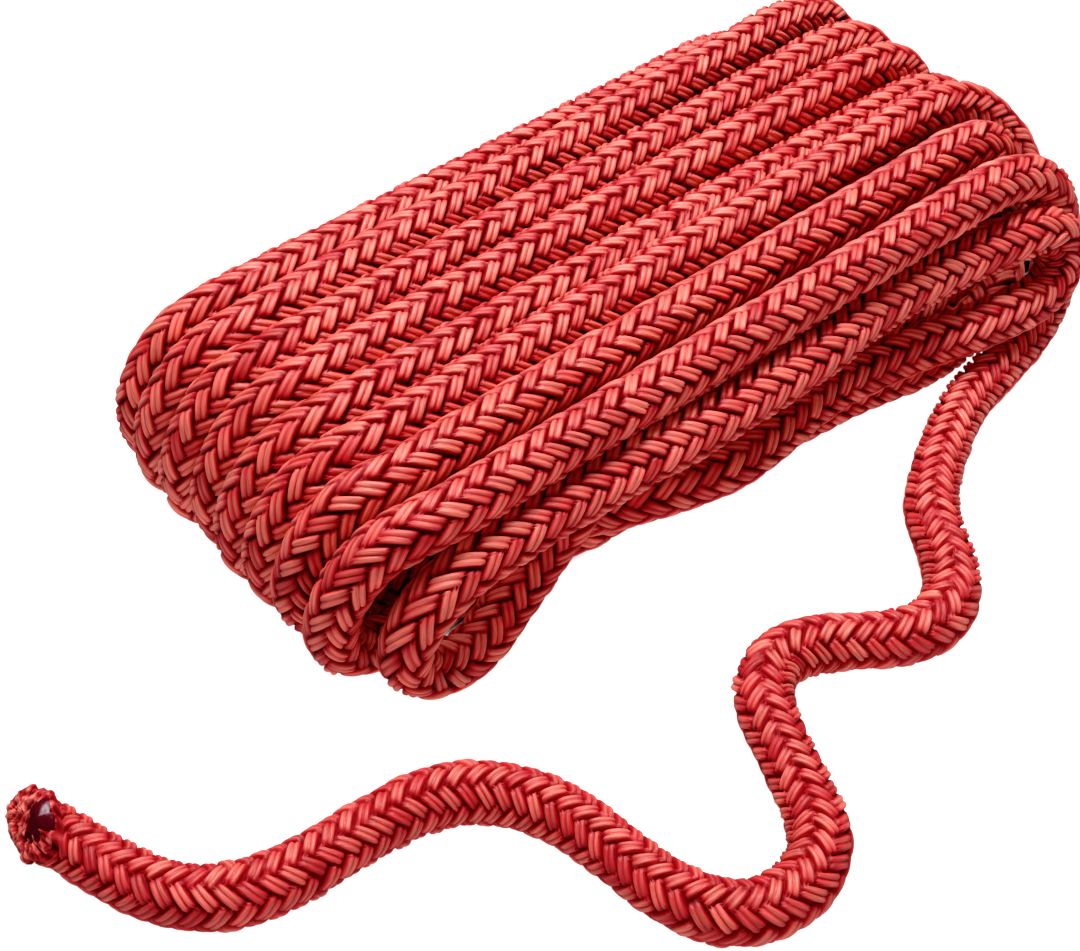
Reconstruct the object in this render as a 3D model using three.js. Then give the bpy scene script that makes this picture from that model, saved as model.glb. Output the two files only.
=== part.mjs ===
// A coiled dock line: one length of 12 mm double-braid rope, wound into a flat hank of nine
// long oval turns. One end leaves the front of the hank and wanders over the surface that the
// line lies on. The other end comes out at the back and lies along the hank. Both ends are cut
// and heat sealed.
//
// Millimetres, +Z up, +X along the turns. The origin is on the flat underside of the hank,
// in the middle of its length and width.

import * as THREE from 'three';

// The rope
const ROPE_DIAMETER = 12;
const COVER_RADIUS = ROPE_DIAMETER / 2;
const COVER_WALL = 1.45;
const GAP = 0.3;                                  // between pieces that touch on the real rope
const CORE_RADIUS = COVER_RADIUS - COVER_WALL - GAP;
const ROPE_SIDES = 12;
const STEP_LENGTH = 0.6 * ROPE_DIAMETER;          // along a tube, so that its bends stay round

// The hank: an outline with round ends, as long as the turns and as wide as nine of them
const HANK_LEFT = -121;
const HANK_RIGHT = 123;
const HANK_HEIGHT = 54;
const HANK_FRONT = -59;
const HANK_BACK = 59.5;
const HANK_END_SEGMENTS = 24;

// The sealed ends
const SEAL_LENGTH = 2.4;
const SEAL_TAPER = 0.5;                           // how far the melted rim draws in
const CORE_DOME = 1.2;                            // how far the melted core bulges

// The free tail, from the front of the hank to its cut end, seen from above: [x, y]
const TAIL_ROUTE = [
  [49, -65.5], [35.6, -71.1], [23.8, -77.3], [12.2, -85.8], [4.2, -97.6], [-6, -106.5],
  [-18.7, -107], [-28.3, -100.8], [-36.9, -94.3], [-47, -91.3], [-56.7, -97], [-62.5, -107.5],
  [-68.5, -120], [-74, -129.5], [-82, -134.5], [-91, -135], [-99.5, -131.5], [-105, -122.5],
  [-107, -110.5], [-107.5, -98.5], [-110, -87], [-116, -77], [-126, -70], [-139, -67.5],
  [-153.5, -66.5], [-165, -64.5], [-173.5, -60], [-180, -52], [-184, -41.5], [-186.9, -30],
  [-189.6, -21], [-193.2, -11.5],
];

// The tucked end, from the back of the hank to its cut end
const TUCKED_ROUTE = [[44, 67.5], [36, 68.2], [24, 68.5], [9.5, 68.5]];

function braidMaterial(name, colour) {
  return new THREE.MeshStandardMaterial({ name, color: colour, roughness: 0.75, metalness: 0 });
}

function sealMaterial(name, colour) {
  return new THREE.MeshStandardMaterial({ name, color: colour, roughness: 0.45, metalness: 0 });
}

// A smooth line through the route's points, one rope radius above the surface
function routeCurve(route) {
  const points = route.map(([x, y]) => new THREE.Vector3(x, y, COVER_RADIUS));
  return new THREE.CatmullRomCurve3(points, false, 'centripetal');
}

function circle(radius) {
  const outline = [];
  for (let side = 0; side < ROPE_SIDES; side += 1) {
    const angle = (2 * Math.PI * side) / ROPE_SIDES;
    outline.push(new THREE.Vector2(radius * Math.cos(angle), radius * Math.sin(angle)));
  }
  return outline;
}

function tubeGeometry(section, curve) {
  return new THREE.ExtrudeGeometry(section, {
    extrudePath: curve,
    steps: Math.ceil(curve.getLength() / STEP_LENGTH),
  });
}

// The braided cover is a hollow tube
function coverGeometry(curve) {
  const section = new THREE.Shape(circle(COVER_RADIUS));
  section.holes.push(new THREE.Path(circle(COVER_RADIUS - COVER_WALL).reverse()));
  return tubeGeometry(section, curve);
}

// The braided core fills it
function coreGeometry(curve) {
  return tubeGeometry(new THREE.Shape(circle(CORE_RADIUS)), curve);
}

// The melted rim of the cover, drawn in towards its outer edge. The axis is Y.
function coverSealGeometry() {
  const inner = COVER_RADIUS - COVER_WALL;
  const profile = [
    new THREE.Vector2(inner, 0),
    new THREE.Vector2(COVER_RADIUS, 0),
    new THREE.Vector2(COVER_RADIUS, SEAL_LENGTH / 2),
    new THREE.Vector2(COVER_RADIUS - SEAL_TAPER, SEAL_LENGTH),
    new THREE.Vector2(inner, SEAL_LENGTH),
    new THREE.Vector2(inner, 0),
  ];
  return new THREE.LatheGeometry(profile, 2 * ROPE_SIDES);
}

// The melted end of the core, a low dome. The axis is Y.
function coreSealGeometry() {
  const profile = [
    new THREE.Vector2(0, 0),
    new THREE.Vector2(CORE_RADIUS, 0),
    new THREE.Vector2(CORE_RADIUS, SEAL_LENGTH - CORE_DOME),
    new THREE.Vector2(0.75 * CORE_RADIUS, SEAL_LENGTH - 0.35 * CORE_DOME),
    new THREE.Vector2(0.4 * CORE_RADIUS, SEAL_LENGTH),
    new THREE.Vector2(0, SEAL_LENGTH),
  ];
  return new THREE.LatheGeometry(profile, 2 * ROPE_SIDES);
}

function namedMesh(name, geometry, material) {
  const mesh = new THREE.Mesh(geometry, material);
  mesh.name = name;
  return mesh;
}

// A stretch of rope with its cut end: cover, core and the two melted seals
function ropeEnd(name, route) {
  const curve = routeCurve(route);
  const seals = new THREE.Group();
  const direction = curve.getTangentAt(1);
  seals.position.copy(curve.getPointAt(1)).addScaledVector(direction, GAP);
  seals.quaternion.setFromUnitVectors(new THREE.Vector3(0, 1, 0), direction);
  seals.add(
    namedMesh(`${name}_cover_seal`, coverSealGeometry(), sealMaterial('cover_seal', 0x8e1c22)),
    namedMesh(`${name}_core_seal`, coreSealGeometry(), sealMaterial('core_seal', 0x4a1a24)),
  );
  const rope = new THREE.Group();
  rope.add(
    namedMesh(`${name}_cover`, coverGeometry(curve), braidMaterial('cover_braid', 0xd8433c)),
    namedMesh(`${name}_core`, coreGeometry(curve), braidMaterial('core_braid', 0xb03a38)),
    seals,
  );
  return rope;
}

// The nine turns of the hank as one solid
function hank() {
  const radius = HANK_HEIGHT / 2;
  const outline = new THREE.Shape();
  outline.moveTo(HANK_LEFT + radius, 0);
  outline.lineTo(HANK_RIGHT - radius, 0);
  outline.absarc(HANK_RIGHT - radius, radius, radius, -Math.PI / 2, Math.PI / 2, false);
  outline.lineTo(HANK_LEFT + radius, HANK_HEIGHT);
  outline.absarc(HANK_LEFT + radius, radius, radius, Math.PI / 2, (3 * Math.PI) / 2, false);
  const geometry = new THREE.ExtrudeGeometry(outline, {
    depth: HANK_BACK - HANK_FRONT,
    bevelEnabled: false,
    curveSegments: HANK_END_SEGMENTS,
  });
  const mesh = namedMesh('hank', geometry, braidMaterial('hank_braid', 0xd8433c));
  mesh.rotation.x = Math.PI / 2;
  mesh.position.y = HANK_BACK;
  return mesh;
}

const dockLine = new THREE.Group();
dockLine.add(hank(), ropeEnd('tail', TAIL_ROUTE), ropeEnd('tucked_end', TUCKED_ROUTE));

export default dockLine;
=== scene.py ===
"""A coiled dock line: 12 mm red double-braid rope, wound into a flat hank of nine long turns,
with a free tail and two heat-sealed ends. Metres in the scene, millimetres in the tables below."""

import math

import bpy
import numpy as np
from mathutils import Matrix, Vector


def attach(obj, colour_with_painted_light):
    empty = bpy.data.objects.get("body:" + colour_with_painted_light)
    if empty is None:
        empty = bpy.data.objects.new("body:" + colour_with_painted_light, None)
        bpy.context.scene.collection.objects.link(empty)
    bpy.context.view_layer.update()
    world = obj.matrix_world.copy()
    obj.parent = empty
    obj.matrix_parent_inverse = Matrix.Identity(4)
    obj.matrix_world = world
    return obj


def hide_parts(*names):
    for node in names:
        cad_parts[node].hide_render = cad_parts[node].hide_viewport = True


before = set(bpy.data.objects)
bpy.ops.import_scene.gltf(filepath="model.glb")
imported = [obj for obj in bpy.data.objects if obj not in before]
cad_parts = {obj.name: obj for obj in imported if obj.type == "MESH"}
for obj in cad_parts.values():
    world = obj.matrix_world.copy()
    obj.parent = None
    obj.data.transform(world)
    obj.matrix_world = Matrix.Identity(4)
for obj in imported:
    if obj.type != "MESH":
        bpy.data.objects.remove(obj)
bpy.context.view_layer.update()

MM = 0.001
ROPE = 12.0                      # the rope's diameter
RADIUS = ROPE / 2

# ---------------------------------------------------------------- camera

VIEW_HEADING = math.radians(42)  # from +Y towards +X
VIEW_PITCH = math.radians(44)    # downwards
CAMERA_PLACE = (-275.4, -268.9, 336.7)
LENS = 66.67
SENSOR = 36.0


def make_camera():
    data = bpy.data.cameras.new("camera")
    data.lens = LENS
    data.sensor_fit = "HORIZONTAL"
    data.sensor_width = SENSOR
    data.clip_start = 0.01
    camera = bpy.data.objects.new("camera", data)
    bpy.context.scene.collection.objects.link(camera)
    forward = Vector((
        math.sin(VIEW_HEADING) * math.cos(VIEW_PITCH),
        math.cos(VIEW_HEADING) * math.cos(VIEW_PITCH),
        -math.sin(VIEW_PITCH),
    ))
    camera.location = Vector(CAMERA_PLACE) * MM
    camera.rotation_mode = "QUATERNION"
    camera.rotation_quaternion = forward.to_track_quat("-Z", "Y")
    bpy.context.scene.camera = camera


make_camera()

# ---------------------------------------------------------------- the rope's route

FLOOR_GAP = 0.02                 # no yarn goes lower than this
FLOOR_RUN = RADIUS               # height of the centreline on the floor
LEFT_BEND = 17.4                 # how far a left bend reaches past its centre
LEFT_HANG = 9.0                  # and how much further its low side hangs out
RIGHT_BEND = 20.4
RIGHT_HANG = 2.4

# The turns, from the back of the hank to its front. Each has its left bend (x, y at the floor, y on
# top, height on top, then its reach and hang where they aren't the usual ones) and its right bend
# (x, y on top, height on top, y at the bottom).
TURNS = [
    ((-90, 53, 46.5, 45.5), (73, 51, 40, 47)),
    ((-93, 41, 34, 47), (96, 42, 46.5, 34)),
    ((-94, 29, 22, 47), (94, 24.5, 47, 20)),
    ((-93.5, 17.5, 10.5, 47), (92.5, 11.5, 47, 6)),
    ((-95.5, 6, -2, 46.5), (95, -1.5, 42.5, -7)),
    ((-97, -5, -14.5, 47, LEFT_BEND, 7.5), (89.6, -12.5, 48, -33)),
    ((-98.5, -16.3, -26.5, 47, LEFT_BEND, 6), (83.5, -29, 47, -34)),
]

# The tucked end, from its cut end behind the hank, in through the loops to the first turn
TUCKED_ROUTE = [
    (9.5, 68.5, 6), (24, 68.5, 6), (36, 68.2, 6), (44, 67.5, 6), (56, 63, 11), (68, 54, 18),
    (81, 42, 23), (91, 25, 26), (95, 7, 29), (89, -10, 32), (74, -14.5, 33), (60, -14.5, 32.5),
    (43, -15, 32.5), (24, -14.5, 32), (6, -6, 29.5), (-11, 11, 27), (-26.5, 30, 24.5),
    (-41, 44.5, 19), (-57.5, 52.5, 11.5), (-75.5, 53.5, 6.5),
]

# The front of the hank, where the runs cross over and under each other
FLOOR_FRONT_RUN = [
    (96, -39.5, 6), (86, -44.5, 6), (74, -47.2, 6), (61, -48.8, 6), (49, -48, 6),
    (35, -44.5, 6), (12, -41.5, 6),
    (-12, -38, 6), (-39.5, -34, 6), (-51.5, -33, 6), (-61, -30, 6), (-71, -24, 6),
    (-80.5, -20, 6), (-91, -17.5, 6),
]
INNER_FRONT_RUN = [
    (73, -35.5, 8), (61, -36, 9), (45, -34.5, 12.5), (25, -32.5, 17), (6, -31.5, 21),
    (-18, -32.5, 25), (-36, -34, 27),
    (-47, -37.5, 27.5), (-55, -40.5, 27), (-62.5, -42, 23.5), (-69, -42, 18.5),
    (-75.5, -42.5, 14), (-83, -43.5, 9.5), (-91, -45.5, 7),
]
FRONT_LEFT_BEND = [
    (-100.5, -45.8, 6.5), (-109.2, -45.3, 11), (-113, -46, 19), (-110.5, -47, 28),
    (-102, -47.5, 34),
]
UPPER_FRONT_RUN = [
    (-90, -47.5, 36), (-63, -48, 36), (-49, -48.5, 36), (-35, -50, 36), (-9.5, -50.5, 36),
    (7, -50.5, 36), (24, -48.5, 36), (38.5, -48.3, 35.5), (55, -49, 34.8), (66, -50.2, 34.5),
    (75.5, -52, 34.8),
]
FRONT_RIGHT_BEND = [
    (84, -54, 35.2), (91.8, -56.2, 31.5), (92.3, -58.2, 22.8), (84.5, -59.3, 17.8),
]
MIDDLE_FRONT_RUN = [
    (71.5, -58.8, 18.6), (60, -57, 18.6), (50, -53.5, 18.3), (37.5, -50.5, 18), (25, -48.5, 18),
    (12, -48, 18), (-6, -50, 18), (-19, -50.5, 18), (-29, -48.5, 18), (-41, -44, 17.5),
    (-49, -39.5, 16), (-57.5, -34.5, 15.5), (-67, -31, 16), (-77, -31.5, 14.5),
    (-86.5, -32, 10.5),
]
LAST_LEFT_BEND = (-98.8, -29.8, -41.5, 47, 19.2, 6)
LAST_RIGHT_BEND = [
    (75.5, -45, 47.5), (88, -45.5, 44.5), (98, -47, 37), (102, -48, 27), (102, -50.5, 15.5),
    (97, -54, 8), (87.5, -57.5, 6), (75.5, -60.5, 6), (59.5, -63.5, 6),
]

# The free tail, seen from above, to its cut end
TAIL_ROUTE = [
    (49, -65.5), (35.6, -71.1), (23.8, -77.3), (12.2, -85.8), (4.2, -97.6), (-6, -106.5),
    (-18.7, -107), (-28.3, -100.8), (-36.9, -94.3), (-47, -91.3), (-56.7, -97), (-62.5, -107.5),
    (-68.5, -120), (-74, -129.5), (-82, -134.5), (-91, -135), (-99.5, -131.5), (-105, -122.5),
    (-107, -110.5), (-107.5, -98.5), (-110, -87), (-116, -77), (-126, -70), (-139, -67.5),
    (-153.5, -66.5), (-165, -64.5), (-173.5, -60), (-180, -52), (-184, -41.5), (-186.9, -30),
    (-189.6, -21), (-193.2, -11.5),
]

PLAIN_TURNS = 5                  # turns whose low run goes straight back under the hank
FLOOR_RUN_HANG = 14              # of the right bend that comes down to the floor's front run
INNER_RUN_BEND = {"z_low": 8, "reach": 18, "hang": 0}
BEND_STEPS = 6
RUN_STEPS = 6
TUCKED_SEAM = 3                  # the tucked route's point where the piece behind the hank ends
UNDER_SEAM = RUN_STEPS // 2      # how many points into its low run each plain turn ends
FLOOR_SEAM = 5                   # and the same for the front turns
INNER_SEAM = 3
MIDDLE_SEAM = 5
LINE_STEP = 1.2                  # spacing of the points along the finished line
STIFFNESS = 3.6                  # the spread of the running average that rounds the rope's corners


def left_bend(x, y_low, y_top, z_top, reach=LEFT_BEND, hang=LEFT_HANG):
    """Points up round a left end. It leans: its low side hangs further out."""
    middle = (FLOOR_RUN + z_top) / 2
    half = (z_top - FLOOR_RUN) / 2
    points = []
    for step in range(BEND_STEPS + 1):
        turned = step / BEND_STEPS
        z = middle - half * math.cos(math.pi * turned)
        low = (z_top - z) / (z_top - FLOOR_RUN)
        out = reach * math.sin(math.pi * turned) + hang * low
        points.append((x - out, y_low + (y_top - y_low) * turned ** 2, z))
    return points


def right_bend(x, y_top, z_top, y_low, z_low=FLOOR_RUN, reach=RIGHT_BEND, hang=RIGHT_HANG):
    """Points down round a right end."""
    middle = (z_low + z_top) / 2
    half = (z_top - z_low) / 2
    points = []
    for step in range(BEND_STEPS + 1):
        angle = math.pi * step / BEND_STEPS
        z = middle + half * math.cos(angle)
        low = (z_top - z) / (z_top - z_low)
        ease = 0.5 - 0.5 * math.cos(angle)
        points.append((x + reach * math.sin(angle) + hang * low, y_top + (y_low - y_top) * ease, z))
    return points


def straight(start, end):
    """The points between two others."""
    return [
        tuple(a + (b - a) * step / RUN_STEPS for a, b in zip(start, end))
        for step in range(1, RUN_STEPS)
    ]


def rope_points():
    """All the points of the route, and the number of the point where each piece ends."""
    points = list(TUCKED_ROUTE)
    piece_ends = [TUCKED_SEAM]
    for number, (left, right) in enumerate(TURNS):
        points += left_bend(*left)
        points += straight(points[-1], right[:3])
        if number < PLAIN_TURNS:
            points += right_bend(*right)
            next_left = TURNS[number + 1][0]
            under = straight(points[-1], (next_left[0] - LEFT_HANG, next_left[1], FLOOR_RUN))
            piece_ends.append(len(points) + UNDER_SEAM)
            points += under
        elif number == PLAIN_TURNS:
            points += right_bend(*right, hang=FLOOR_RUN_HANG)
            piece_ends.append(len(points) + FLOOR_SEAM)
            points += FLOOR_FRONT_RUN
        else:
            points += right_bend(*right, **INNER_RUN_BEND)
            piece_ends.append(len(points) + INNER_SEAM)
            points += INNER_FRONT_RUN
    points += FRONT_LEFT_BEND + UPPER_FRONT_RUN + FRONT_RIGHT_BEND
    piece_ends.append(len(points) + MIDDLE_SEAM)
    points += MIDDLE_FRONT_RUN
    points += left_bend(*LAST_LEFT_BEND)
    points += straight(points[-1], LAST_RIGHT_BEND[0])
    points += LAST_RIGHT_BEND
    piece_ends.append(len(points))
    points += [(x, y, FLOOR_RUN) for x, y in TAIL_ROUTE]
    piece_ends.append(len(points) - 1)
    return np.array(points, float), piece_ends


def lengths_along(points):
    """How far along the line each of its points is."""
    return np.concatenate([[0], np.cumsum(np.linalg.norm(np.diff(points, axis=0), axis=1))])


def through(points, step):
    """A centripetal Catmull-Rom line through the points."""
    ends = [2 * points[0] - points[1], 2 * points[-1] - points[-2]]
    knots = np.vstack([ends[0], points, ends[1]])
    line = []
    for p0, p1, p2, p3 in zip(knots, knots[1:], knots[2:], knots[3:]):
        t1 = np.linalg.norm(p1 - p0) ** 0.5
        t2 = t1 + np.linalg.norm(p2 - p1) ** 0.5
        t3 = t2 + np.linalg.norm(p3 - p2) ** 0.5
        count = max(2, int(np.linalg.norm(p2 - p1) / step))
        for t in np.linspace(t1, t2, count, endpoint=False):
            a1 = (t1 - t) / t1 * p0 + t / t1 * p1
            a2 = (t2 - t) / (t2 - t1) * p1 + (t - t1) / (t2 - t1) * p2
            a3 = (t3 - t) / (t3 - t2) * p2 + (t - t2) / (t3 - t2) * p3
            b1 = (t2 - t) / t2 * a1 + t / t2 * a2
            b2 = (t3 - t) / (t3 - t1) * a2 + (t - t1) / (t3 - t1) * a3
            line.append((t2 - t) / (t2 - t1) * b1 + (t - t1) / (t2 - t1) * b2)
    line.append(points[-1])
    return np.array(line)


def even(line, step):
    """The same line, its points evenly spaced."""
    lengths = lengths_along(line)
    places = np.linspace(0, lengths[-1], int(lengths[-1] / step) + 1)
    return np.stack([np.interp(places, lengths, line[:, axis]) for axis in range(3)], axis=1)


def relaxed(line):
    """The line with its corners rounded, as the rope's own stiffness rounds them."""
    reach = int(3 * STIFFNESS / LINE_STEP)
    weights = np.exp(-0.5 * (np.arange(-reach, reach + 1) * LINE_STEP / STIFFNESS) ** 2)
    weights /= weights.sum()
    before = 2 * line[0] - line[reach:0:-1]
    after = 2 * line[-1] - line[-2:-reach - 2:-1]
    padded = np.vstack([before, line, after])
    axes = [np.convolve(padded[:, axis], weights, mode="valid") for axis in range(3)]
    return np.stack(axes, axis=1)


def carried_frames(line, twist):
    """A normal and a binormal at each point, carried along without turning, then twisted."""
    tangents = np.gradient(line, axis=0)
    tangents /= np.linalg.norm(tangents, axis=1)[:, None]
    normals = np.empty_like(line)
    normal = np.cross(tangents[0], (0, 0, 1.0))
    for index, tangent in enumerate(tangents):
        normal = normal - tangent * (normal @ tangent)
        normal /= np.linalg.norm(normal)
        normals[index] = normal
    binormals = np.cross(tangents, normals)
    turn = twist[:, None]
    return (
        normals * np.cos(turn) + binormals * np.sin(turn),
        binormals * np.cos(turn) - normals * np.sin(turn),
        tangents,
    )


route, route_ends = rope_points()
centreline = relaxed(even(through(route, LINE_STEP), LINE_STEP))
along = lengths_along(centreline)
ROPE_LENGTH = along[-1]


def place_along(point, start):
    """How far along the rope its centreline passes a route point, at or after start."""
    later = along >= start
    nearest = np.argmin(np.linalg.norm(centreline[later] - point, axis=1))
    return float(along[later][nearest])


piece_ends = []
for number in route_ends:
    piece_ends.append(place_along(route[number], piece_ends[-1] if piece_ends else 0))
TAIL_START = piece_ends[-2]

# ---------------------------------------------------------------- the braid

COLUMNS = 8                      # columns of floats round the rope
HANK_PITCH = 5.5                 # from one float to the next along a column
TAIL_PITCH = 4.1                 # the tail's braid is packed closer
CUT_PITCH = 3.0                  # and closer still where the cut end is pushed together
RINGS_PER_FLOAT = 14
COLUMN_SAMPLES = 10
AROUND = COLUMNS * COLUMN_SAMPLES
CREST = 0.52 * ROPE              # the radius at the top of a float
GROOVE = 0.42 * ROPE             # and at the bottom of the grooves
YARN_OFFSET = 0.212              # a yarn's middle from its float's, where a float is 1 wide
YARN_HALF = 0.212
BED_RISE = 0.55
END_START = 0.74                 # where a yarn's end starts to round off
CROWN = 0.3
PITCH_WAVES = ((0.035, 61, 0), (0.03, 23, 1))  # uneven packing: share of the pitch, mm, start
PITCH_EASE = 60                  # the length over which the tail's pitch comes in
CUT_PACKED = (2, 14)             # distances from a cut between which its pitch fades out
TAIL_SWELL = 0.02                # how much thicker the loose tail is
BEND_SWELL = 0.07                # and how much more in a tight bend
SWELL_EASE = 40                  # the length over which the tail gets thicker
BEND_POINTS = 9                  # points of the line over which its bend is averaged
CUT_FLARE = 1.2                  # how far the cut end spreads
CUT_WAVES = ((0.3, 5, 1), (0.2, 9, 0))         # unevenly: mm, waves round the rope, start
CUT_SQUEEZE = 6.0                # over how much of its length the braid is crushed by the cut
CUT_SLANT = 20.0                 # how much further back the cut is on its leaning side
CUT_LEANS = ((0.63, 0.2, 0.75), (-0.63, -0.16, 0.76))
PLEATS = 16                      # yarns bunched round a cut
TAIL_EVENNESS = 0.19             # how much less painted shade and highlight the tail's colours have
TAIL_FLATTENING = 1.6            # how much of the painted shade and highlight that takes away
CUT_DARKENING = 0.25
FIRST_TWIST = 0.79               # radians
TWIST_PER_TURN = 0.9             # radians, so that no two turns show the same columns
TURN_LENGTH = 480
RISE_SPREAD = 0.1                # how unlike each other the floats are: in height
SLIP_SPREAD = 0.07               # in place along the float
SWAY_SPREAD = 0.035              # and in place across it
rng = np.random.default_rng(12)


def smoothstep(value, low, high):
    """0 below low, 1 above high, and a smooth rise between them."""
    t = np.clip((value - low) / (high - low), 0, 1)
    return t * t * (3 - 2 * t)


def waves(angles, parts):
    """A sum of sine waves round the rope, each given as its height, its number and its start."""
    return sum(size * np.sin(count * angles + start) for size, count, start in parts)


def braid_phase():
    """The number of floats from the rope's start to each point of its line."""
    in_tail = smoothstep(along, TAIL_START - PITCH_EASE, TAIL_START)
    pitch = HANK_PITCH + (TAIL_PITCH - HANK_PITCH) * in_tail
    pitch *= 1 + sum(share * np.sin(along / wave + start) for share, wave, start in PITCH_WAVES)
    for distance in (along, ROPE_LENGTH - along):
        pitch += (CUT_PITCH - pitch) * (1 - smoothstep(distance, *CUT_PACKED))
    per_mm = 1 / pitch
    floats = np.concatenate([[0], np.cumsum(0.5 * (per_mm[1:] + per_mm[:-1]) * np.diff(along))])
    return floats * math.floor(floats[-1]) / floats[-1]


phase = braid_phase()
FLOATS = int(round(phase[-1]))
RINGS = FLOATS * RINGS_PER_FLOAT
twist = FIRST_TWIST + TWIST_PER_TURN * along / TURN_LENGTH
side_axis, up_axis, forward_axis = carried_frames(centreline, twist)


def at(distances, values):
    """The values along the rope, read at these distances from its start."""
    return np.stack([np.interp(distances, along, values[:, axis]) for axis in range(3)], axis=-1)


def spokes(distances, angles):
    """Unit vectors out from the centreline, at each ring's points."""
    side = at(distances, side_axis) * np.cos(angles)[None, :, None]
    return side + at(distances, up_axis) * np.sin(angles)[None, :, None]


def leaned(distances, angles):
    """Rings whose ends are cut at a slant: their distances, their spokes, and how much of the
    braid's length is left at each point, from 0 where the cut has crushed it to 1."""
    upright = spokes(distances, angles)
    from_ends = (distances, ROPE_LENGTH - distances)
    spread = np.ones(distances.shape)
    for distance, lean, way in zip(from_ends, CUT_LEANS, (1, -1)):
        cut = CUT_SLANT * (0.5 + 0.5 * (upright @ np.array(lean)))
        soft = cut * CUT_SQUEEZE / (cut + CUT_SQUEEZE) + 0.01
        past = distance - cut
        apart = np.hypot(past, soft)
        distances = distances + way * 0.5 * (apart - past)
        spread *= 0.5 * (1 + past / apart)
    return distances, spokes(distances, angles), spread


def float_shape(across, lengthways):
    """Height over one float: two plump yarns side by side with round ends, on a softer bed."""
    yarn = (np.abs(across - 0.5) - YARN_OFFSET) / YARN_HALF
    end = np.clip((np.abs(lengthways) - END_START) / (1 - END_START), 0, 1)
    roundness = np.sqrt(np.clip(1 - yarn ** 2 - end ** 2, 0, 1))
    between = np.clip(1 - np.abs(2 * across - 1) ** 3, 0, 1)
    bed = BED_RISE * between * (1 - end ** 2)
    crown = 1 - CROWN * lengthways ** 2
    return (bed + (1 - bed) * roundness) * crown


def lay_cells(lay_s, lay_z):
    """Which strand is on top in a two-over-two braid, and where the point is in its float."""
    cell_s = np.floor(lay_s + 1e-6)
    cell_z = np.floor(lay_z + 1e-6)
    over = (cell_z - cell_s) % 4
    s_on_top = over < 1.5
    across = np.where(s_on_top, lay_s - cell_s, lay_z - cell_z)
    lengthways = np.where(s_on_top, lay_z - cell_z + over, lay_s - cell_s + 3 - over) - 1
    first_s = np.where(s_on_top, cell_s, cell_s - 3 + over)
    first_z = np.where(s_on_top, cell_z - over, cell_z)
    float_row = (first_s + first_z).astype(int) + 2 * COLUMNS
    float_column = ((first_z - first_s) % (2 * COLUMNS)).astype(int)
    return s_on_top, across, lengthways, (float_row, float_column)


# The rows of points zigzag round the rope, so that they follow the edges of the floats
column = np.arange(AROUND + 1) / COLUMN_SAMPLES
zigzag = 0.5 - np.abs(column % 2 - 1)
ring = np.arange(RINGS + 1) / RINGS_PER_FLOAT
straighten = smoothstep(np.minimum(ring, FLOATS - ring), 0, 2.5)
float_count = np.clip(ring[:, None] + zigzag[None, :] * straighten[:, None], 0, FLOATS)
lay_s = float_count - column + 0.5
lay_z = float_count + column
s_on_top, across, lengthways, float_id = lay_cells(lay_s, lay_z)
table_shape = (2 * FLOATS + 4 * COLUMNS, 2 * COLUMNS)
float_rise = rng.normal(1, RISE_SPREAD, table_shape)[float_id]
float_slip = rng.normal(0, SLIP_SPREAD, table_shape)[float_id]
float_tint = rng.random(table_shape)[float_id]
float_sway = rng.normal(0, SWAY_SPREAD, table_shape)[float_id]
height = float_shape(np.clip(across + float_sway, 0, 1), lengthways + float_slip) * float_rise

angle = 2 * math.pi * column / COLUMNS
reach, radial, spread = leaned(np.interp(float_count, phase, along), angle)
bend = np.linalg.norm(np.gradient(forward_axis, axis=0), axis=1) / LINE_STEP
bend = np.convolve(bend, np.ones(BEND_POINTS) / BEND_POINTS, mode="same")
loose = smoothstep(along, TAIL_START, TAIL_START + SWELL_EASE)
swell = 1 + loose * (TAIL_SWELL + BEND_SWELL * np.clip(bend * 2 * ROPE, 0, 1))
near_cut = 1 - smoothstep(spread, 0.05, 0.95)
bunching = np.sin(PLEATS * angle + 1.5 * np.sin(3 * angle))
pleats = 0.5 + 0.3 * bunching + 0.2 * np.sin(7 * angle + 2)
height += (pleats - height) * smoothstep(near_cut, 0.35, 0.95)
crumple = CUT_FLARE + waves(angle, CUT_WAVES)
radius = (GROOVE + (CREST - GROOVE) * height) * np.interp(reach, along, swell) + crumple * near_cut
surface = at(reach, centreline) + radial * radius[:, :, None]
surface[:, :, 2] = np.maximum(surface[:, :, 2], FLOOR_GAP)

# How light a point is painted, from painted shade deep in the grooves to painted highlight on the
# floats: less contrast on the loose tail, darker by the cuts
evenness = np.interp(reach, along, loose) * TAIL_EVENNESS
painted_light_and_char = height * (1 - TAIL_FLATTENING * evenness) + evenness - CUT_DARKENING * near_cut

# Which lay is on top in the middle of each face
face_s = 0.25 * (lay_s[1:, 1:] + lay_s[:-1, 1:] + lay_s[1:, :-1] + lay_s[:-1, :-1])
face_z = 0.25 * (lay_z[1:, 1:] + lay_z[:-1, 1:] + lay_z[1:, :-1] + lay_z[:-1, :-1])
face_is_s = lay_cells(face_s, face_z)[0]


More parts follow.
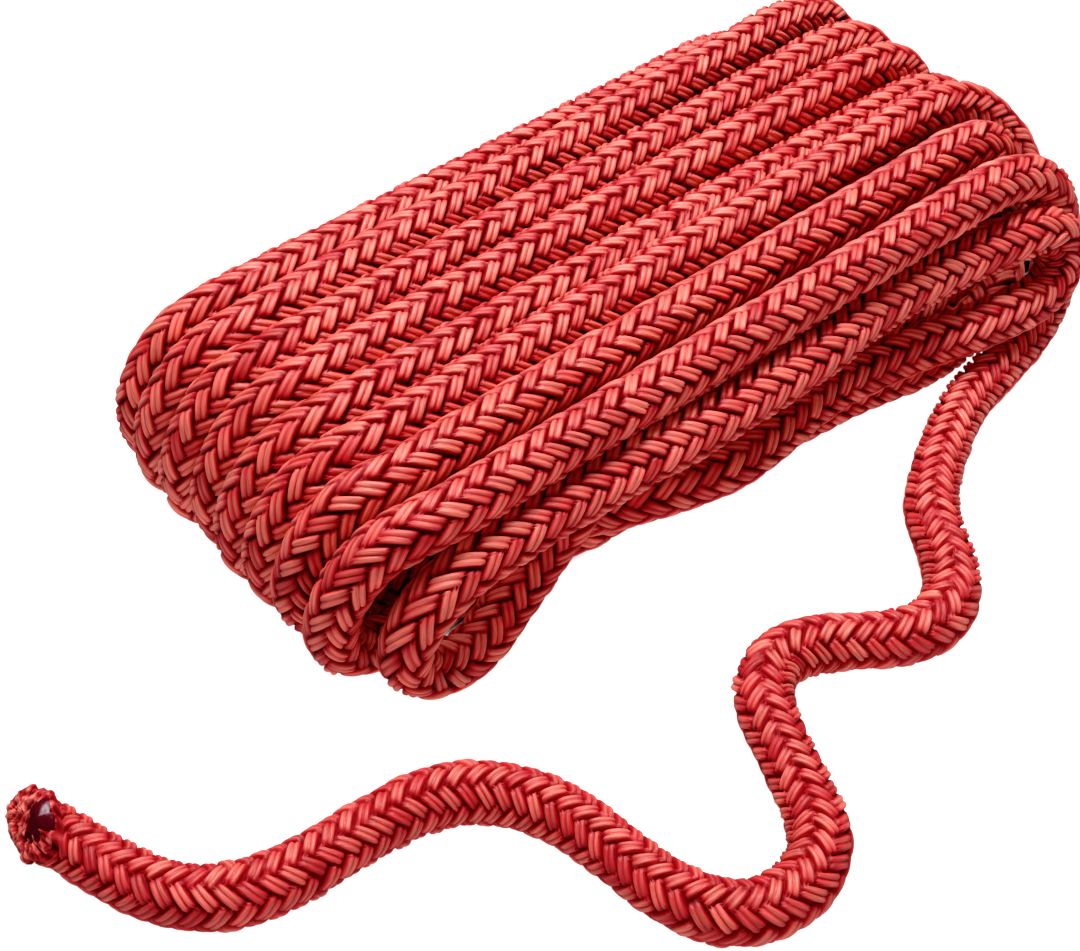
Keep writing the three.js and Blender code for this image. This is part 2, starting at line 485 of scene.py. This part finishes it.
def mesh_object(name, points, loops, sizes, uvs=None, values=None):
    """An object from arrays: points, the faces' corners one after another, and their counts."""
    mesh = bpy.data.meshes.new(name)
    mesh.vertices.add(len(points))
    mesh.vertices.foreach_set("co", np.asarray(points, np.float32).ravel())
    mesh.loops.add(len(loops))
    mesh.loops.foreach_set("vertex_index", np.asarray(loops, np.int32))
    mesh.polygons.add(len(sizes))
    starts = np.concatenate([[0], np.cumsum(sizes)[:-1]])
    mesh.polygons.foreach_set("loop_start", starts.astype(np.int32))
    mesh.update(calc_edges=True)
    mesh.shade_smooth()
    if uvs is not None:
        layer = mesh.uv_layers.new(name="Yarn")
        layer.data.foreach_set("uv", np.asarray(uvs, np.float32).ravel())
    for key, data in (values or {}).items():
        per_point = mesh.attributes.new(key, "FLOAT", "POINT")
        per_point.data.foreach_set("value", np.asarray(data, np.float32).ravel())
    thing = bpy.data.objects.new(name, mesh)
    bpy.context.scene.collection.objects.link(thing)
    return thing


def capped_grid(rows, columns):
    """Corners and sizes of the faces of a tube of rings, closed by a fan at each end."""
    ring_start = np.arange(rows - 1)[:, None] * columns
    here = np.arange(columns)[None, :]
    there = (here + 1) % columns
    quads = np.stack([
        ring_start + here, ring_start + there,
        ring_start + columns + there, ring_start + columns + here,
    ], axis=-1).reshape(-1)
    first = np.stack([np.full(columns, rows * columns), there[0], here[0]], axis=-1)
    last_ring = (rows - 1) * columns
    last = np.stack(
        [np.full(columns, rows * columns + 1), last_ring + here[0], last_ring + there[0]], axis=-1
    )
    loops = np.concatenate([quads, first.reshape(-1), last.reshape(-1)])
    sizes = np.concatenate([np.full((rows - 1) * columns, 4), np.full(2 * columns, 3)])
    return loops, sizes


LAY_SHIFT = 0.37                 # keeps the filaments of one lay unlike the other's
CAP_CORNERS = 2 * 3 * AROUND     # corners of the faces that close a piece's two ends
MIDDLE_TINT = 0.5


def cover_piece(name, first_ring, last_ring):
    """The braided cover between two of its rings."""
    rings = slice(first_ring, last_ring + 1)
    points = surface[rings, :-1].reshape(-1, 3)
    rows = last_ring - first_ring + 1
    middles = [surface[first_ring, :-1].mean(axis=0), surface[last_ring, :-1].mean(axis=0)]
    points = np.vstack([points, middles]) * MM
    loops, sizes = capped_grid(rows, AROUND)

    faces = slice(first_ring, last_ring)
    corners = []
    for row_shift, column_shift in ((0, 0), (0, 1), (1, 1), (1, 0)):
        row = slice(first_ring + row_shift, last_ring + row_shift)
        columns = slice(column_shift, AROUND + column_shift)
        corner_s = lay_s[row, columns]
        corner_z = lay_z[row, columns]
        is_s = face_is_s[faces]
        corners.append(np.stack([
            np.where(is_s, corner_z, corner_s), np.where(is_s, corner_s, corner_z + LAY_SHIFT),
        ], axis=-1))
    uvs = np.stack(corners, axis=2).reshape(-1, 2)
    uvs = np.vstack([uvs, np.zeros((CAP_CORNERS, 2))])
    values = {
        "painted_light_and_char": np.concatenate([painted_light_and_char[rings, :-1].ravel(), [0, 0]]),
        "tint": np.concatenate([float_tint[rings, :-1].ravel(), [MIDDLE_TINT] * 2]),
    }
    return mesh_object(name, points, loops, sizes, uvs, values)


CORE_RADIUS = 4.25
CORE_STEP = 4                    # points of the line from one ring of the core to the next
CORE_SIDES = 16
CORE_INSET = 3.5                 # how far the core stops short of the cover's cuts
CORE_INSET_EASE = 60             # the length over which its rings are pulled back


def core_piece():
    """The braided core, one strand from end to end inside the cover."""
    keep = np.arange(0, len(centreline), CORE_STEP)
    angles = 2 * math.pi * np.arange(CORE_SIDES) / CORE_SIDES
    start_pull = 1 - smoothstep(along[keep], 0, CORE_INSET_EASE)
    end_pull = smoothstep(along[keep], ROPE_LENGTH - CORE_INSET_EASE, ROPE_LENGTH)
    distances, out, _ = leaned(np.repeat(along[keep, None], CORE_SIDES, axis=1), angles)
    distances += CORE_INSET * (start_pull - end_pull)[:, None]
    rings = at(distances, centreline) + out * CORE_RADIUS
    points = np.vstack([rings.reshape(-1, 3), rings[0].mean(axis=0), rings[-1].mean(axis=0)]) * MM
    loops, sizes = capped_grid(len(keep), CORE_SIDES)
    return mesh_object("core", points, loops, sizes), centreline[keep] * MM


FACE_ROWS = 34
FACE_FINENESS = 3                # points round the face for each of the cover's
FACE_BULGE = 1.6
FACE_BLUNT = 5                   # how square the shoulder of the cut end is
FACE_EDGE = 12                   # how close to the rim its bumps keep up
FACE_LUMPS = (50, 1.2, 3.4, 5)   # waves, their shortest and longest lengths, random seed
FACE_WRINKLES = (60, 0.5, 1.3, 6)
FACE_FOLDS = 41
FACE_TEXTURE = (0.6, 0.15, 0.1)  # heights of the lumps, the wrinkles and the folds
FACE_SHADES = (0.6, 0.25, 0.15)  # how much each of them lightens and darkens the cut, as painted highlight on their tops and painted shade in their hollows
FACE_SHADE = 0.75
FACE_DARKEST = 0.22
FACE_TINT = 0.35
FACE_BACKING = 0.5
CHARRING = 0.35                  # how much darker the cut is by the melted core
CHARRED = (3.5, 8.5)             # distances from its middle between which that fades out


def ripples(points, count, shortest, longest, seed):
    """Smooth random bumps in space, as a sum of waves."""
    draws = np.random.default_rng(seed)
    total = np.zeros(points.shape[:-1])
    for _ in range(count):
        direction = draws.normal(size=3)
        direction /= np.linalg.norm(direction)
        wave = draws.uniform(shortest, longest)
        total += wave * np.sin(points @ direction * (2 * math.pi / wave) + draws.uniform(0, 7))
    return total / (longest * math.sqrt(count))


def face_axes(ring, outward, lean):
    """The cut's normal, the way it leans back, and the way across."""
    normal = np.cross(ring[len(ring) // 4] - ring[0], ring[len(ring) // 2] - ring[0])
    normal /= np.linalg.norm(normal)
    if normal @ outward < 0:
        normal = -normal
    back = np.array(lean) - normal * (normal @ np.array(lean))
    back /= np.linalg.norm(back)
    return normal, back, np.cross(normal, back)


def cut_face(name, cover_ring, axes):
    """The slanting cut across the cover: crumpled yarn ends drawn in to the middle."""
    columns = len(cover_ring) * FACE_FINENESS
    number = np.arange(columns) / FACE_FINENESS
    ring = np.stack([
        np.interp(number, np.arange(len(cover_ring) + 1), np.append(values, values[0]))
        for values in cover_ring.T
    ], axis=1)
    middle = ring.mean(axis=0)
    normal, back, across = axes
    q = (1 - np.arange(FACE_ROWS) / FACE_ROWS)[:, None]
    turn = 2 * math.pi * np.arange(columns)[None, :] / columns
    flat = middle + (ring - middle)[None] * q[:, :, None]
    lumps = ripples(flat, *FACE_LUMPS)
    wrinkles = ripples(flat, *FACE_WRINKLES)
    wander = 2 * np.sin(3 * turn) + 2 * np.sin(5 * turn + 5 * q) + 4 * q
    folds = np.sin(FACE_FOLDS * turn + wander)
    texture, shades = (
        sum(share * part for share, part in zip(shares, (lumps, wrinkles, folds)))
        for shares in (FACE_TEXTURE, FACE_SHADES)
    )
    rise = FACE_BULGE * (1 - q ** FACE_BLUNT) ** 0.5 + texture * (1 - q ** FACE_EDGE)
    points = flat + normal * rise[:, :, None]
    points[:, :, 2] = np.maximum(points[:, :, 2], FLOOR_GAP)
    closing = [middle - normal * FACE_BACKING, points[-1].mean(axis=0)]
    loops, sizes = capped_grid(FACE_ROWS, columns)
    off_core = flat - middle - back * BLOB_BACK - across * BLOB_ACROSS
    charred = 1 - smoothstep(np.linalg.norm(off_core, axis=-1), *CHARRED)
    # painted highlight and shade on the crumpled cut, and the charred yarn darker by the melted
    # core
    face_shade_and_char = np.clip(FACE_SHADE + shades - CHARRING * charred, FACE_DARKEST, 1)
    numbers = np.arange(FACE_ROWS * columns + 2)
    lay = np.stack([numbers // columns * 0.1, numbers % columns * (PLEATS / columns)], axis=-1)
    values = {
        "painted_light_and_char": np.concatenate([face_shade_and_char.ravel(), [0, 0]]),
        "tint": np.full(len(numbers), FACE_TINT),
    }
    points = np.vstack([points.reshape(-1, 3), closing]) * MM
    return mesh_object(name, points, loops, sizes, lay[loops], values)


BLOB_ROWS = 14
BLOB_SIDES = 44
BLOB_LONG = 4.9                  # how far the melted core spreads along the cut's slant
BLOB_WIDE = 4.7
BLOB_RISE = 1.1
BLOB_BACK = 5.5                  # how far it sits off the middle, towards the leaning side
BLOB_ACROSS = 1.6
BLOB_BACKING = 1.5
BLOB_WAVES = ((0.14, 3, 1), (0.1, 5, 0), (0.07, 9, 2))  # its uneven edge: share, waves, start
BLOB_LUMPS = (30, 1.2, 4.0, 8)   # waves, their shortest and longest lengths, random seed
BLOB_LUMPINESS = 0.25
BLOB_TUCK = 0.7                  # how far its edge sinks into the cut
HIGHLIGHT_PLACE = (0.4, 0.78)        # where the painted pale highlight is: shares of the blob's half sizes
HIGHLIGHT_SIZE = (0.45, 0.36)


def melted_core(name, ring, axes):
    """The end of the core, melted to a dark, lumpy blob with a painted pale, glassy highlight."""
    normal, back, across = axes
    middle = ring.mean(axis=0) + normal * FACE_BULGE + back * BLOB_BACK + across * BLOB_ACROSS
    turn = 2 * math.pi * np.arange(BLOB_SIDES)[None, :] / BLOB_SIDES
    q = (1 - np.arange(BLOB_ROWS) / BLOB_ROWS)[:, None]
    edge = 1 + waves(turn, BLOB_WAVES)
    flat = middle + (
        back * (BLOB_LONG * edge * q * np.cos(turn))[:, :, None]
        + across * (BLOB_WIDE * edge * q * np.sin(turn))[:, :, None]
    )
    lumps = ripples(flat, *BLOB_LUMPS)
    dome = BLOB_RISE * np.sqrt(np.clip(1 - q ** 2, 0, 1))
    rise = dome + BLOB_LUMPINESS * lumps - BLOB_TUCK * q ** 6
    points = flat + normal * rise[:, :, None]
    closing = [middle - normal * BLOB_BACKING, points[-1].mean(axis=0)]
    loops, sizes = capped_grid(BLOB_ROWS, BLOB_SIDES)
    # where the painted pale highlight lies on the blob
    off_highlight = sum(
        ((q * way - place) / size) ** 2
        for way, place, size in zip((np.cos(turn), np.sin(turn)), HIGHLIGHT_PLACE, HIGHLIGHT_SIZE)
    )
    values = {"painted_highlight": np.concatenate([np.exp(-off_highlight).ravel(), [0, 0]])}
    points = np.vstack([points.reshape(-1, 3), closing]) * MM
    return mesh_object(name, points, loops, sizes, values=values)


# ---------------------------------------------------------------- materials


def node(tree, kind, **inputs):
    made = tree.nodes.new(kind)
    for key, value in inputs.items():
        made.inputs[key].default_value = value
    return made


def maths(tree, operation, *operands, clamp=False):
    """The result of a maths node whose operands are numbers or other nodes' outputs."""
    made = tree.nodes.new("ShaderNodeMath")
    made.operation = operation
    made.use_clamp = clamp
    for socket, operand in zip(made.inputs, operands):
        if isinstance(operand, (int, float)):
            socket.default_value = operand
        else:
            tree.links.new(operand, socket)
    return made.outputs[0]


def attribute(tree, name):
    made = tree.nodes.new("ShaderNodeAttribute")
    made.attribute_name = name
    return made.outputs["Fac"]


def new_material(name):
    material = bpy.data.materials.new(name)
    material.use_nodes = True
    return material, material.node_tree, material.node_tree.nodes["Principled BSDF"]


def ramp(tree, stops):
    made = tree.nodes.new("ShaderNodeValToRGB")
    elements = made.color_ramp.elements
    while len(elements) < len(stops):
        elements.new(0.5)
    for element, (position, colour) in zip(elements, stops):
        element.position = position
        element.color = (*colour, 1)
    return made


YARN_AND_PAINTED_LIGHT_COLOURS = [                 # from painted shade at the bottom of the grooves to painted highlight on the top of the floats
    (0.0, (0.07, 0.0, 0.003)),
    (0.3, (0.26, 0.001, 0.009)),
    (0.7, (0.53, 0.025, 0.034)),
    (1.0, (0.83, 0.165, 0.126)),
]
MELT_AND_HIGHLIGHT_COLOURS = [                 # from plain melted yarn to the middle of the painted pale highlight
    (0.0, (0.075, 0.003, 0.012)),
    (0.2, (0.11, 0.010, 0.024)),
    (0.36, (0.30, 0.16, 0.20)),
    (0.56, (0.56, 0.45, 0.49)),
]
FILAMENT_STRETCH = (0.8, 9, 1)   # along a yarn, across it
FILAMENT_SHADE = 1.5             # how much the filaments vary a yarn's brightness
FLOAT_SHADE = 0.2                # how much it varies from float to float
LEAST_SHADE = 0.17
BUMP_HEIGHT = 0.0004


def yarn_material():
    """Soft red filament yarn with painted shade and highlight: crimson down in the grooves, salmon
    on the crests.
    """
    material, tree, shader = new_material("yarn")
    link = tree.links.new
    uv = tree.nodes.new("ShaderNodeUVMap")
    uv.uv_map = "Yarn"
    stretch = tree.nodes.new("ShaderNodeMapping")
    stretch.inputs["Scale"].default_value = FILAMENT_STRETCH
    link(uv.outputs["UV"], stretch.inputs["Vector"])
    filaments = node(tree, "ShaderNodeTexNoise", Scale=1.0, Detail=3.0, Roughness=0.6)
    link(stretch.outputs["Vector"], filaments.inputs["Vector"])

    painted_light_value = attribute(tree, "painted_light_and_char")
    # the yarn's red, with painted shade in the grooves and a painted pale highlight on the crests
    colour_with_painted_light = ramp(tree, YARN_AND_PAINTED_LIGHT_COLOURS)
    link(painted_light_value, colour_with_painted_light.inputs["Fac"])
    per_float = maths(tree, "MULTIPLY_ADD", attribute(tree, "tint"), FLOAT_SHADE, LEAST_SHADE)
    shade = maths(tree, "MULTIPLY_ADD", filaments.outputs["Fac"], FILAMENT_SHADE, per_float)
    vary = node(tree, "ShaderNodeHueSaturation")
    link(shade, vary.inputs["Value"])
    link(colour_with_painted_light.outputs["Color"], vary.inputs["Color"])
    link(vary.outputs["Color"], shader.inputs["Base Color"])

    bump = node(tree, "ShaderNodeBump", Strength=0.6, Distance=BUMP_HEIGHT)
    link(filaments.outputs["Fac"], bump.inputs["Height"])
    link(bump.outputs["Normal"], shader.inputs["Normal"])
    shader.inputs["Specular Tint"].default_value = (1.0, 0.92, 0.88, 1)
    shader.inputs["Roughness"].default_value = 0.52
    gloss = maths(tree, "MULTIPLY", painted_light_value, 1.0, clamp=True)
    shader.inputs["Specular IOR Level"].default_value = 0.5  # for the export, which drops the link
    link(gloss, shader.inputs["Specular IOR Level"])
    shader.inputs["Sheen Weight"].default_value = 0.05
    shader.inputs["Sheen Roughness"].default_value = 0.35
    shader.inputs["Sheen Tint"].default_value = (1.0, 0.62, 0.55, 1)
    return material


def melt_material():
    """Core yarn melted by the hot knife: near-black maroon and glassy, with a painted pale grey
    highlight.
    """
    material, tree, shader = new_material("melted_core")
    link = tree.links.new
    place = tree.nodes.new("ShaderNodeNewGeometry")
    grain = node(tree, "ShaderNodeTexNoise", Scale=900.0, Detail=4.0, Roughness=0.65)
    link(place.outputs["Position"], grain.inputs["Vector"])
    # the painted pale highlight, broken up by the grain
    patchy = maths(tree, "MULTIPLY", attribute(tree, "painted_highlight"), grain.outputs["Fac"])
    colours = ramp(tree, MELT_AND_HIGHLIGHT_COLOURS)
    link(patchy, colours.inputs["Fac"])
    link(colours.outputs["Color"], shader.inputs["Base Color"])
    bump = node(tree, "ShaderNodeBump", Strength=0.5, Distance=BUMP_HEIGHT)
    link(grain.outputs["Fac"], bump.inputs["Height"])
    link(bump.outputs["Normal"], shader.inputs["Normal"])
    shader.inputs["Roughness"].default_value = 0.42
    shader.inputs["Specular IOR Level"].default_value = 0.1
    return material


# ---------------------------------------------------------------- the pieces

yarn = yarn_material()
melt = melt_material()

ring_ends = [0]
for end in piece_ends[:-1]:
    ring_ends.append(int(np.interp(end, along, phase)) * RINGS_PER_FLOAT)
ring_ends.append(RINGS)
# The cover's pieces, each with the CAD node that it stands for
piece_names = ["tucked_end_cover"] + [f"turn_{number}" for number in range(1, 10)] + ["tail_cover"]
cad_nodes = {"tucked_end_cover": "tucked_end_cover", "tail_cover": "tail_cover"}
for name, first_ring, last_ring in zip(piece_names, ring_ends, ring_ends[1:]):
    cover = cover_piece(name + "_braid", first_ring, last_ring)
    cover.data.materials.append(yarn)
    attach(cover, "root")
    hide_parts(cad_nodes.get(name, "hank"))

core, core_line = core_piece()
core.data.materials.append(yarn)
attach(core, "root")
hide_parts("tail_core", "tucked_end_core")

for name, ring_number, outward, lean in (
    ("tucked_end", 0, -forward_axis[0], CUT_LEANS[0]),
    ("tail", -1, forward_axis[-1], CUT_LEANS[1]),
):
    cut_ring = surface[ring_number, :-1]
    axes = face_axes(cut_ring, outward, lean)
    face = cut_face(name + "_cut_face", cut_ring, axes)
    face.data.materials.append(yarn)
    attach(face, "root")
    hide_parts(name + "_cover_seal")
    blob = melted_core(name + "_melted_core", cut_ring, axes)
    blob.data.materials.append(melt)
    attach(blob, "root")
    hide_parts(name + "_core_seal")

# ---------------------------------------------------------------- floor and light

SHADED_FLOOR = ((7, 109), (2.2, 39.6))  # middle and half width of the painted shadow on the floor under the hank, along X and Y
SHADE_TURN = math.radians(1.7)   # how far that rectangle is turned
SHADE_EDGE = (-0.002, 0.001)     # metres outside the rectangle where the floor is dark, and bright
FLOOR_SIZE = 6
FLOOR_GLOW = 0.97
FLOOR_COLOUR = 0.35


def make_floor():
    """A bright floor with a painted shadow: dark only under the hank, where nothing but its gaps
    shows it.
    """
    bpy.ops.mesh.primitive_plane_add(size=FLOOR_SIZE)
    floor = bpy.context.object
    floor.name = "floor"
    material, tree, shader = new_material("floor")
    shader.inputs["Roughness"].default_value = 0.9
    shader.inputs["Emission Color"].default_value = (1, 1, 1, 1)
    link = tree.links.new
    place = tree.nodes.new("ShaderNodeNewGeometry")
    turned = node(tree, "ShaderNodeVectorRotate", Angle=SHADE_TURN)
    link(place.outputs["Position"], turned.inputs["Vector"])
    parts = tree.nodes.new("ShaderNodeSeparateXYZ")
    link(turned.outputs[0], parts.inputs[0])
    outside = []
    for axis, (middle, half) in zip("XY", SHADED_FLOOR):
        offset = maths(tree, "SUBTRACT", parts.outputs[axis], middle * MM)
        size = maths(tree, "ABSOLUTE", offset)
        outside.append(maths(tree, "SUBTRACT", size, half * MM))
    glow = tree.nodes.new("ShaderNodeMapRange")
    glow.interpolation_type = "SMOOTHSTEP"
    link(maths(tree, "MAXIMUM", *outside), glow.inputs["Value"])
    glow.inputs["From Min"].default_value, glow.inputs["From Max"].default_value = SHADE_EDGE
    # the painted shadow dims both the floor's glow and its colour
    for socket, full in (("Emission Strength", FLOOR_GLOW), ("Base Color", FLOOR_COLOUR)):
        link(maths(tree, "MULTIPLY", glow.outputs["Result"], full), shader.inputs[socket])
    floor.data.materials.append(material)
    floor.visible_glossy = False


def area_light(name, place, size, power, colour):
    """A rectangular light that points at the middle of the hank's underside."""
    data = bpy.data.lights.new(name, "AREA")
    data.shape = "RECTANGLE"
    data.size, data.size_y = size
    data.energy = power
    data.color = colour
    light = bpy.data.objects.new(name, data)
    bpy.context.scene.collection.objects.link(light)
    light.location = place
    light.rotation_mode = "QUATERNION"
    light.rotation_quaternion = (-Vector(place)).to_track_quat("-Z", "Y")
    return light


WORLD_GLOW = 0.09
TONE_TOE = ((0.02, 0.005), (0.05, 0.03), (0.1, 0.087), (0.2, 0.197))  # deepens the darkest tones

make_floor()
area_light("key", (0.14, 0.2, 0.95), (0.4, 0.4), 13.8, (1.0, 0.97, 0.95))
fill = area_light("fill", (-0.7, -0.85, 0.8), (1.0, 0.6), 4.0, (1.0, 0.8, 0.82))
fill.visible_glossy = False
world = bpy.data.worlds.new("world")
bpy.context.scene.world = world
world.use_nodes = True
background = world.node_tree.nodes["Background"]
background.inputs["Color"].default_value = (1, 1, 1, 1)
background.inputs["Strength"].default_value = WORLD_GLOW
view = bpy.context.scene.view_settings
view.view_transform = "Standard"
view.use_curve_mapping = True
tone = view.curve_mapping.curves[3]      # the curve for all three channels together
for position, value in TONE_TOE:
    tone.points.new(position, value)
view.curve_mapping.update()
